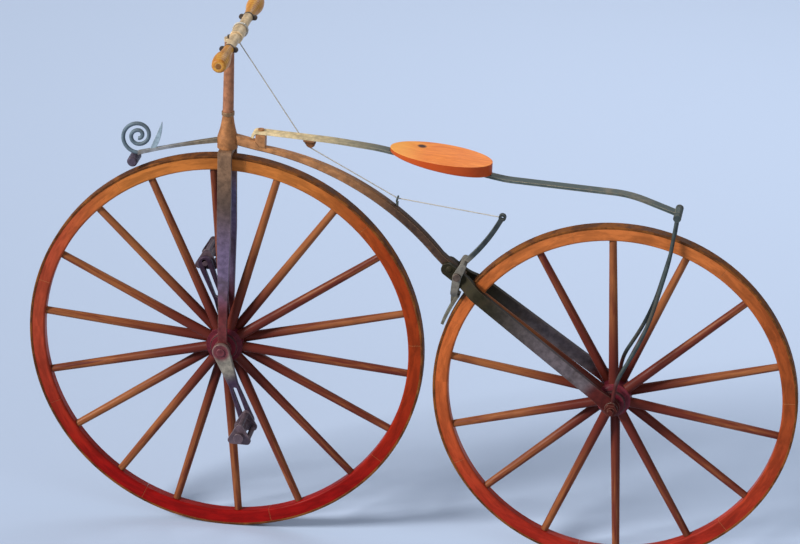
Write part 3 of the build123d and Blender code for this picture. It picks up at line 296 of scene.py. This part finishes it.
def felloe_wood(name, centre, colours):
    """Grain runs round the rim, which is orange on top and redder below, in front and behind."""
    top, low, fore, aft = colours
    paint = Paint(name)
    angle, radius, y = paint.polar(centre)
    space = paint.drawn((angle, y, radius), FELLOE_GRAIN)
    x, _, z = paint.away_from(centre)
    light = paint.mix(paint.ramp(x, *FORE_FADE), top, fore)
    light = paint.mix(paint.ramp(x, *AFT_FADE), light, aft)
    light = paint.mix(paint.ramp(z, *LOW_FADE), light, low)
    dark = paint.mix(RIM_SHADE, light, BLACK)
    wood(paint, space, light, dark, RIM_WORN, rough=0.36, coat=0.0, wear=0.6, spec=0.07)


def spoke_wood(name, centre, count, first):
    """Grain runs along each spoke, each has its own tone, and the rim's ends are paler."""
    paint = Paint(name)
    angle, radius, y = paint.polar(centre)
    turn = paint.math("DIVIDE", paint.minus(angle, math.radians(first)), 2 * math.pi / count)
    index = paint.math("ROUND", turn)
    own = paint.add("ShaderNodeTexWhiteNoise", noise_dimensions="1D")
    paint.put(own.inputs["W"], index)
    along = paint.plus(paint.times(radius, SPOKE_ALONG), paint.times(index, SPOKE_SHIFT))
    beside = paint.times(paint.minus(turn, index), SPOKE_ROUND)
    space = paint.vec(along, paint.times(y, SPOKE_ACROSS), beside)
    light = paint.mix(paint.ramp(radius, *SPOKE_FADE), SPOKE_DARK, SPOKE_LIGHT)
    tone = paint.ramp(own.outputs["Value"], 0.0, 1.0, first=0.3, last=0.75)
    wood(paint, space, light, SPOKE_DARK, SPOKE_WORN, tone=tone, rough=0.4, coat=0.0, wear=0.3, spec=0.1)


def turned_wood(name, light, dark, worn, rough=0.4, coat=0.1, rings=TOOL_RINGS):
    """Wood turned about the Y direction: grain along Y and faint tool rings."""
    paint = Paint(name)
    x, y, z = paint.split(paint.place)
    space = paint.drawn((x, y, z), TURNED_GRAIN)
    ring = paint.plus(paint.times(paint.math("SINE", paint.times(y, rings)), RING_TONE), 0.5)
    wood(paint, space, light, dark, worn, tone=ring, rough=rough, coat=coat, wear=0.6)


def saddle_wood(name):
    """Bright varnished board: grain along X, one dark knot on top, and painted shade in red-brown on the
    sides.
    """
    paint = Paint(name)
    x, y, z = paint.split(paint.place)
    knot_x, knot_y, _ = paint.away_from(KNOT_PLACE)
    away = paint.length(knot_x, knot_y)
    pull = paint.ramp(away, KNOT_REACH, 0.0, last=KNOT_PULL)
    space = paint.drawn((x, paint.plus(y, pull), z), BOARD_GRAIN)
    long = paint.noise(space, scale=2.6, detail=6.0, rough=0.6, warp=0.8)
    fine = paint.noise(space, scale=16.0, rough=0.7)
    blotch = paint.noise(paint.place, scale=11.0, detail=3.0, rough=0.5)
    colour = paint.mix(paint.ramp(long, 0.36, 0.66), SADDLE_DARK, SADDLE_LIGHT)
    colour = paint.mix(paint.ramp(fine, 0.58, 0.7, last=0.4), colour, darker(SADDLE_DARK, share=0.5))
    colour = paint.mix(paint.ramp(x, *NOSE_FADE, last=0.6), colour, SADDLE_NOSE)
    # painted shade: faces that turn from upward to sideways take the side colour
    up = paint.split(paint.facing)[2]
    colour = paint.mix(paint.ramp(up, 0.8, 0.4, last=0.9), colour, SADDLE_SIDE_SHADE)
    knot = paint.times(paint.ramp(away, *KNOT_EDGE), paint.ramp(up, 0.5, 0.9))
    colour = paint.mix(knot, colour, KNOT_COLOUR)
    roughness = paint.ramp(paint.plus(fine, blotch), 0.7, 1.4, first=0.3, last=0.5)
    paint.bump(paint.plus(paint.times(fine, 0.6), long), strength=0.25, depth=0.0005)
    paint.finish(colour, roughness, spec=0.1)


# Iron and cord

RUB_POLISH = 0.12                     # how much less rough a rubbed edge is
TYRE_GRAIN = (3.0, 60.0, 40.0)        # a radian round the tyre, across it and outwards
TYRE_RUB = 0.35                       # how much a tyre's edge shows the worn colour
TYRE_RUST, TYRE_DIRT, TYRE_WORN = (0.200, 0.064, 0.012), (0.076, 0.024, 0.006), (0.32, 0.13, 0.05)
HEMP_DARK, HEMP_LIGHT, HEMP_DIRT = (0.40, 0.37, 0.32), (0.72, 0.68, 0.60), (0.26, 0.23, 0.19)


def iron(name, skin, patch, worn, metal=0.2, rough=0.55, share=0.5, far=None, ends=None, inner_shade=None,
         near=(), spec=0.2):
    """Aged forged iron: mottled skin, rust or dirt patches, pits, and rubbed edges.

    The skin may change: far is (colour, x from, x to) along the machine, ends is (colour, y from,
    y to) outwards, near lists (colour, centre, radius from, radius to) towards axles, and inner is
    painted shade: the colour laid on the faces turned towards the machine's middle plane."""
    paint = Paint(name)
    x, y, _ = paint.split(paint.place)
    if far:
        skin = paint.mix(paint.ramp(x, far[1], far[2]), skin, far[0])
    # painted shade on the faces that turn towards the middle plane
    if inner_shade:
        outward = paint.times(paint.split(paint.facing)[1], paint.math("SIGN", y))
        skin = paint.mix(paint.ramp(outward, -0.3, -0.8), skin, inner_shade)
    if ends:
        skin = paint.mix(paint.ramp(paint.math("ABSOLUTE", y), ends[1], ends[2]), skin, ends[0])
    for colour, centre, outside, inside in near:
        radius = paint.polar(centre)[1]
        skin = paint.mix(paint.ramp(radius, outside, inside), skin, colour)
    broad = paint.noise(paint.place, scale=14.0, detail=5.0, rough=0.6, warp=0.4)
    mottle = paint.noise(paint.place, scale=70.0, detail=5.0, rough=0.65)
    grit = paint.noise(paint.place, scale=320.0, detail=3.0, rough=0.7)
    colour = paint.mix(paint.ramp(mottle, 0.3, 0.7, first=0.45, last=0.0), skin, BLACK)
    colour = paint.mix(paint.ramp(broad, 0.5, 0.66, last=share), colour, patch)
    colour = paint.mix(paint.ramp(grit, 0.6, 0.72, last=0.5), colour, darker(patch, share=0.45))
    rub = paint.times(paint.edges(), paint.ramp(broad, 0.62, 0.42, first=0.2, last=0.75))
    colour = paint.mix(rub, colour, worn)
    roughness = paint.ramp(mottle, 0.3, 0.7, first=rough - 0.08, last=rough + 0.16)
    roughness = paint.minus(roughness, paint.times(rub, RUB_POLISH))
    paint.bump(paint.plus(paint.times(mottle, 0.9), paint.times(grit, 0.35)), strength=0.4, depth=0.0007)
    paint.finish(colour, roughness, metal=metal, spec=spec)


def tyre_iron(name, centre):
    """Rusted hoop iron with scuffs drawn out round the wheel and paler edges."""
    paint = Paint(name)
    angle, radius, y = paint.polar(centre)
    scuff = paint.noise(paint.drawn((angle, y, radius), TYRE_GRAIN), scale=6.0, detail=5.0, rough=0.7)
    broad = paint.noise(paint.place, scale=26.0, detail=6.0, rough=0.62, warp=0.5)
    grit = paint.noise(paint.place, scale=300.0, detail=3.0, rough=0.7)
    colour = paint.mix(paint.ramp(broad, 0.40, 0.62), TYRE_DIRT, TYRE_RUST)
    colour = paint.mix(paint.ramp(scuff, 0.56, 0.7, last=0.4), colour, TYRE_WORN)
    colour = paint.mix(paint.ramp(grit, 0.6, 0.74, last=0.5), colour, darker(TYRE_DIRT, share=0.5))
    colour = paint.mix(paint.times(paint.edges(), TYRE_RUB), colour, TYRE_WORN)
    roughness = paint.ramp(broad, 0.3, 0.7, first=0.55, last=0.78)
    paint.bump(paint.plus(broad, paint.times(grit, 0.4)), strength=0.4, depth=0.0006)
    paint.finish(colour, roughness, metal=0.15, spec=0.1)


def hemp(name):
    """Pale laid hemp, dirty in places."""
    paint = Paint(name)
    fuzz = paint.noise(paint.place, scale=900.0, rough=0.7)
    broad = paint.noise(paint.place, scale=60.0, detail=3.0, rough=0.5)
    colour = paint.mix(paint.ramp(fuzz, 0.35, 0.65), HEMP_DARK, HEMP_LIGHT)
    colour = paint.mix(paint.ramp(broad, 0.5, 0.7, last=0.35), colour, HEMP_DIRT)
    paint.bump(fuzz, strength=0.5, depth=0.0003)
    paint.bsdf.inputs["Sheen Weight"].default_value = 0.2
    paint.finish(colour, 0.85)


# Materials

# columns: wheel, hub, rim colours, number of spokes, the first spoke's angle in degrees
WHEELS = [
    ("front", FRONT_HUB, FRONT_RIM, 18, 15.0),
    ("rear", REAR_HUB, REAR_RIM, 14, 16.5),
]

# columns: name, light, dark, worn, and the changes from plain turned wood
TURNED_WOODS = [
    ("hub_wood", (0.150, 0.014, 0.024), (0.070, 0.006, 0.012), (0.30, 0.07, 0.06), {"coat": 0.03}),
    ("grip_wood", (0.68, 0.350, 0.060), (0.43, 0.150, 0.024), (0.74, 0.42, 0.12),
     {"rough": 0.34, "coat": 0.04, "rings": GRIP_RINGS}),
    ("rest_bar_wood", (0.092, 0.072, 0.106), (0.044, 0.033, 0.048), (0.22, 0.17, 0.17), {"coat": 0.04}),
]

RED_BY_REAR_HUB = ((0.085, 0.014, 0.012), REAR_HUB, 0.085, 0.050)
HANDLED = {"metal": 0.3, "rough": 0.45}    # iron kept smooth by hands, feet and spanners

# columns: name, skin, patches, worn edges, and the changes from plain iron
IRONS = [
    ("band_iron", (0.070, 0.024, 0.026), (0.046, 0.014, 0.014), (0.26, 0.13, 0.11), {}),
    ("backbone_iron", (0.490, 0.220, 0.088), (0.200, 0.090, 0.040), (0.52, 0.33, 0.17),
     {"far": ((0.066, 0.036, 0.024), -0.30, -0.06)}),
    ("leg_iron", (0.030, 0.025, 0.012), (0.040, 0.024, 0.014), (0.15, 0.12, 0.09),
     {"far": ((0.130, 0.105, 0.115), 0.10, 0.30), "near": [RED_BY_REAR_HUB], "spec": 0.1}),
    ("socket_iron", (0.420, 0.175, 0.064), (0.200, 0.080, 0.038), (0.52, 0.31, 0.17), {}),
    ("column_iron", (0.420, 0.175, 0.088), (0.190, 0.072, 0.040), (0.48, 0.28, 0.17), {}),
    # the fork's bluish inner faces are painted shade
    ("fork_iron", (0.110, 0.070, 0.052), (0.062, 0.040, 0.034), (0.26, 0.19, 0.14),
     {"inner_shade": (0.150, 0.130, 0.240),
      "near": [((0.165, 0.118, 0.205), FRONT_HUB, 0.36, 0.22),
               ((0.150, 0.028, 0.030), FRONT_HUB, 0.17, 0.08),
               ((0.250, 0.140, 0.080), HEAD, 0.13, 0.03)]}),
    ("bar_iron", (0.780, 0.570, 0.335), (0.420, 0.280, 0.145), (0.84, 0.70, 0.48),
     {"ends": ((0.300, 0.120, 0.030), 0.20, 0.22), **HANDLED}),
    ("flange_iron", (0.085, 0.066, 0.056), (0.050, 0.034, 0.030), (0.30, 0.24, 0.17), {}),
    ("dull_brass", (0.300, 0.170, 0.085), (0.150, 0.075, 0.040), (0.56, 0.40, 0.24),
     {"metal": 0.5, "rough": 0.4}),
    # the crank's grey-beige ring round the axle is a painted highlight
    ("crank_iron", (0.058, 0.034, 0.064), (0.036, 0.018, 0.028), (0.24, 0.17, 0.19),
     {"near": [((0.340, 0.300, 0.240), FRONT_HUB, 0.080, 0.040),
               ((0.170, 0.040, 0.048), FRONT_HUB, 0.026, 0.014)], **HANDLED}),
    ("pedal_iron", (0.140, 0.096, 0.116), (0.070, 0.040, 0.050), (0.34, 0.26, 0.26), HANDLED),
    ("nut_iron", (0.120, 0.084, 0.066), (0.070, 0.042, 0.030), (0.36, 0.28, 0.22), HANDLED),
    ("rear_nut_iron", (0.080, 0.014, 0.010), (0.050, 0.012, 0.009), (0.26, 0.12, 0.09), {"spec": 0.1}),
    # the spring's pale yellow skin is partly its own colour and partly a painted highlight; it turns dark
    # grey-teal towards the rear
    ("spring_iron", (0.860, 0.660, 0.360), (0.300, 0.220, 0.130), (0.70, 0.54, 0.34),
     {"far": ((0.078, 0.102, 0.098), -0.38, -0.08), "share": 0.35}),
    ("stay_iron", (0.052, 0.068, 0.068), (0.066, 0.048, 0.030), (0.26, 0.25, 0.20),
     {"near": [RED_BY_REAR_HUB]}),
    ("scroll_iron", (0.142, 0.194, 0.235), (0.076, 0.088, 0.098), (0.44, 0.48, 0.50), {}),
    ("leaf_iron", (0.340, 0.440, 0.510), (0.200, 0.230, 0.250), (0.56, 0.60, 0.62), {}),
    ("stem_iron", (0.190, 0.150, 0.105), (0.120, 0.095, 0.065), (0.44, 0.40, 0.34),
     {"far": ((0.270, 0.280, 0.300), -0.55, -0.63)}),
    ("lever_iron", (0.040, 0.050, 0.052), (0.050, 0.040, 0.030), (0.24, 0.24, 0.20),
     {"near": [((0.200, 0.180, 0.150), BRAKE_PIVOT, 0.060, 0.030)]}),
    ("shoe_iron", (0.165, 0.156, 0.116), (0.100, 0.080, 0.060), (0.34, 0.32, 0.25), {}),
    ("guide_iron", (0.300, 0.120, 0.045), (0.140, 0.060, 0.030), (0.48, 0.28, 0.14), {}),
]

saddle_wood("saddle_wood")
hemp("hemp_cord")
for wheel, hub, rim, count, first in WHEELS:
    felloe_wood(wheel + "_rim_wood", hub, rim)
    spoke_wood(wheel + "_spoke_wood", hub, count, first)
    tyre_iron(wheel + "_tyre_iron", hub)
for name, light, dark, worn, changes in TURNED_WOODS:
    turned_wood(name, light, dark, worn, **changes)
for name, skin, patch, worn, changes in IRONS:
    iron(name, skin, patch, worn, **changes)

# the CAD nodes that wear each material
DRESS = {
    "front_rim_wood": ["front_felloes"],
    "rear_rim_wood": ["rear_felloes"],
    "front_spoke_wood": ["front_spokes"],
    "rear_spoke_wood": ["rear_spokes"],
    "front_tyre_iron": ["front_tyre"],
    "rear_tyre_iron": ["rear_tyre"],
    "hub_wood": ["front_hub", "rear_hub"],
    "band_iron": ["front_hub_bands", "rear_hub_bands"],
    "saddle_wood": ["saddle"],
    "grip_wood": ["grip_left", "grip_right"],
    "rest_bar_wood": ["leg_rest_bar"],
    "backbone_iron": ["backbone", "spring_bracket"],
    "leg_iron": ["rear_leg_left", "rear_leg_right", "leg_rivet"],
    "socket_iron": ["head_socket"],
    "column_iron": ["steering_column"],
    "fork_iron": ["fork_leg_left", "fork_leg_right", "fork_crown", "fork_bearing_left", "fork_bearing_right"],
    "bar_iron": ["handlebar", "bar_bracket"],
    "flange_iron": ["grip_flanges", "column_nut"],
    "dull_brass": ["head_collar", "cord_sheave"],
    "crank_iron": ["crank_left", "crank_right", "front_axle"],
    "pedal_iron": ["pedal_left", "pedal_right", "pedal_pin_left", "pedal_pin_right"],
    "nut_iron": ["brake_pivot_bolt", "saddle_bolts"],
    "rear_nut_iron": ["rear_axle", "rear_axle_nuts"],
    "spring_iron": ["seat_spring", "cord_eyelet"],
    "stay_iron": ["stay_left", "stay_right", "spring_eye_bolt"],
    "scroll_iron": ["leg_rest_scroll"],
    "leaf_iron": ["leg_rest_leaf"],
    "stem_iron": ["leg_rest_stem"],
    "lever_iron": ["brake_lever"],
    "shoe_iron": ["brake_shoe"],
    "guide_iron": ["cord_guide"],
    "hemp_cord": ["brake_cord_upper", "brake_cord_lower"],
}
for name, nodes in DRESS.items():
    for node in nodes:
        data = NODES[node].data
        data.materials.clear()
        data.materials.append(materials[name])


# Brake cord, laid from three strands

CORD_RADIUS = 0.0015
CORD_SIDE = 0.018             # the upper stretch runs this far right of the middle
SEAT_GAP = 0.0003             # between the cord and what it runs round
BAR_EYE_RADIUS = 0.015        # of the bracket's eye, which the cord winds round
SHEAVE_RADIUS = 0.010
SHEAVE_BACK, SHEAVE_UP = 0.178, 0.0127        # from the head's lower end to the cord's corner
EYELET_ANGLE = math.radians(44.7)             # back from upright, about the front hub
EYELET_GAP = 0.0861           # outside the front tyre
EYELET_SIDE = 0.006
LEVER_EYE_RADIUS = 0.0085
WINDING_RADIUS = BAR_EYE_RADIUS + CORD_RADIUS + SEAT_GAP
WINDING_TURNS = 2.3
WINDING_PITCH = 0.0033
SHEAVE_BEND = SHEAVE_RADIUS + CORD_RADIUS + SEAT_GAP
EYELET_BEND = 0.008
STRANDS = 3
STRAND_SIDES = 6
STRAND_RADIUS = 0.00073
STRAND_OFFSET = 0.00078       # from the cord's middle to a strand's
LAY = 0.0095                  # length of one full twist
CORD_STEP = 0.0009            # about the most from one ring of the strands to the next


def cord_corners():
    """The taut cord's corners: under the bar, at the sheave, in the eyelet, at the lever's eye."""
    at_sheave = HEAD + Vector((SHEAVE_BACK, CORD_SIDE, SHEAVE_UP))
    back, up = at_sheave.x - BAR.x, at_sheave.z - BAR.z
    leaving = math.atan2(up, back) - math.acos(WINDING_RADIUS / math.hypot(back, up))
    x, z = WINDING_RADIUS * math.cos(leaving), WINDING_RADIUS * math.sin(leaving)
    under_bar = BAR + Vector((x, CORD_SIDE, z))
    reach = FRONT_RADIUS + EYELET_GAP
    x, z = reach * math.sin(EYELET_ANGLE), reach * math.cos(EYELET_ANGLE)
    in_eyelet = FRONT_HUB + Vector((x, EYELET_SIDE, z))
    lever_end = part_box("brake_lever")[1]
    x, z = lever_end.x - 2 * LEVER_EYE_RADIUS + CORD_RADIUS, lever_end.z - LEVER_EYE_RADIUS
    return [under_bar, at_sheave, in_eyelet, Vector((x, 0, z))]


def bend_points(corner, before, after, radius):
    """Points round a guide, from where the taut cord meets it to where it leaves it."""
    half = before.angle(after) / 2
    reach = radius * math.tan(half)
    centre = corner + (after - before).normalized() * (radius / math.cos(half))
    start = corner - before * reach - centre
    stop = corner + after * reach - centre
    count = max(4, math.ceil(2 * half * radius / CORD_STEP))
    points = []
    for k in range(count + 1):
        share = k / count
        from_start = math.sin((1 - share) * 2 * half) / math.sin(2 * half)
        from_stop = math.sin(share * 2 * half) / math.sin(2 * half)
        points.append(centre + start * from_start + stop * from_stop)
    return points


def straight(a, b):
    """Points from a towards b, without b."""
    count = max(2, math.ceil((b - a).length / CORD_STEP))
    return [a.lerp(b, k / count) for k in range(count)]


def winding(end):
    """Points of the turns round the bar, up to the end, where the cord leaves it."""
    leaving = math.atan2(end.z - BAR.z, end.x - BAR.x)
    count = math.ceil(WINDING_TURNS * 2 * math.pi * WINDING_RADIUS / CORD_STEP)
    points = []
    for k in range(count, 0, -1):
        turn = WINDING_TURNS * k / count
        angle = leaving - 2 * math.pi * turn
        x = WINDING_RADIUS * math.cos(angle)
        z = WINDING_RADIUS * math.sin(angle)
        points.append(BAR + Vector((x, end.y + WINDING_PITCH * turn, z)))
    return points


def cord_routes():
    """The upper route, from its winding on the bar to the sheave, and the lower one."""
    a, b, c, d = CORD_CORNERS
    ab, bc, cd = (b - a).normalized(), (c - b).normalized(), (d - c).normalized()
    sheave = bend_points(b, ab, bc, SHEAVE_BEND)
    eyelet = bend_points(c, bc, cd, EYELET_BEND)
    upper = winding(a) + straight(a, sheave[0]) + sheave
    lower = straight(sheave[-1], eyelet[0]) + eyelet[:-1] + straight(eyelet[-1], d) + [d]
    return upper, lower


def strand_rings(route):
    """One ring of corners for each strand at each point of the route."""
    normal = (route[1] - route[0]).orthogonal().normalized()
    rings = []
    run = 0.0
    for k, point in enumerate(route):
        way = (route[min(k + 1, len(route) - 1)] - route[max(k - 1, 0)]).normalized()
        normal = (normal - way * normal.dot(way)).normalized()
        across = way.cross(normal)
        if k:
            run += (point - route[k - 1]).length
        for strand in range(STRANDS):
            turn = 2 * math.pi * (run / LAY + strand / STRANDS)
            out = normal * math.cos(turn) + across * math.sin(turn)
            side = way.cross(out)
            ring = []
            for s in range(STRAND_SIDES):
                angle = 2 * math.pi * s / STRAND_SIDES
                spoke = (out * math.cos(angle) + side * math.sin(angle)) * STRAND_RADIUS
                ring.append(point + out * STRAND_OFFSET + spoke)
            rings.append(ring)
    return rings


def laid_cord(name, route):
    """Twisted strands along a route, as one mesh."""
    rings = strand_rings(route)
    last_row = (len(route) - 1) * STRANDS
    faces = []
    for ring in range(last_row):
        low = ring * STRAND_SIDES
        high = low + STRANDS * STRAND_SIDES
        for s in range(STRAND_SIDES):
            after = (s + 1) % STRAND_SIDES
            faces.append((low + s, low + after, high + after, high + s))
    for strand in range(STRANDS):
        start = strand * STRAND_SIDES
        stop = (last_row + strand) * STRAND_SIDES
        faces.append(tuple(start + s for s in reversed(range(STRAND_SIDES))))
        faces.append(tuple(stop + s for s in range(STRAND_SIDES)))
    mesh = bpy.data.meshes.new(name)
    mesh.from_pydata([corner for ring in rings for corner in ring], [], faces)
    mesh.polygons.foreach_set("use_smooth", [True] * len(mesh.polygons))
    mesh.materials.append(materials["hemp_cord"])
    piece = bpy.data.objects.new(name, mesh)
    bpy.context.scene.collection.objects.link(piece)
    return piece


CORD_CORNERS = cord_corners()
upper_route, lower_route = cord_routes()
upper_cord = laid_cord("laid_cord_upper", upper_route)
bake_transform(upper_cord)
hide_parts("brake_cord_upper")
lower_cord = laid_cord("laid_cord_lower", lower_route)
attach(lower_cord, "frame")
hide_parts("brake_cord_lower")


# Light and floor

SOFT_DISK = {"shape": "DISK", "size": 3.0}
# columns: name, kind, place, aim, power, colour, and the lamp's own settings
LAMPS = [
    ("key", "SUN", (-4.0, -2.8, 2.3), (0, 0, -0.4), 4.25, (1, 0.975, 0.94), {"angle": math.radians(15)}),
    ("fill", "AREA", (3.2, -3.6, 1.6), (0, 0, -0.4), 50, (0.90, 0.95, 1), SOFT_DISK),
    ("back", "AREA", (0.8, 3.6, 2.6), (0, 0, -0.3), 60, (0.94, 0.97, 1), SOFT_DISK),
]
WORLD_COLOUR, WORLD_STRENGTH = (0.84, 0.91, 1.0, 1), 0.31
FLOOR_COLOUR = (0.455, 0.540, 0.700)
FLOOR_HALF = 30.0

for name, kind, place, aim, power, colour, settings in LAMPS:
    data = bpy.data.lights.new(name, kind)
    data.energy = power
    data.color = colour
    for key, value in settings.items():
        setattr(data, key, value)
    lamp = bpy.data.objects.new(name, data)
    turn = (Vector(aim) - Vector(place)).to_track_quat("-Z", "Y").to_matrix().to_4x4()
    lamp.matrix_world = Matrix.Translation(place) @ turn
    bpy.context.scene.collection.objects.link(lamp)

world = bpy.data.worlds.new("studio")
bpy.context.scene.world = world
world.use_nodes = True
sky = world.node_tree.nodes["Background"]
sky.inputs["Color"].default_value = WORLD_COLOUR
sky.inputs["Strength"].default_value = WORLD_STRENGTH

FLOOR_CORNERS = [(-1, -1), (1, -1), (1, 1), (-1, 1)]
floor_mesh = bpy.data.meshes.new("floor")
floor_mesh.from_pydata([(x * FLOOR_HALF, y * FLOOR_HALF, GROUND) for x, y in FLOOR_CORNERS],
                       [], [(0, 1, 2, 3)])
Paint("floor_paint").finish(FLOOR_COLOUR, 0.85, spec=0.1)
floor_mesh.materials.append(materials["floor_paint"])
floor = bpy.data.objects.new("floor", floor_mesh)
bpy.context.scene.collection.objects.link(floor)

bpy.context.scene.view_settings.view_transform = "Standard"
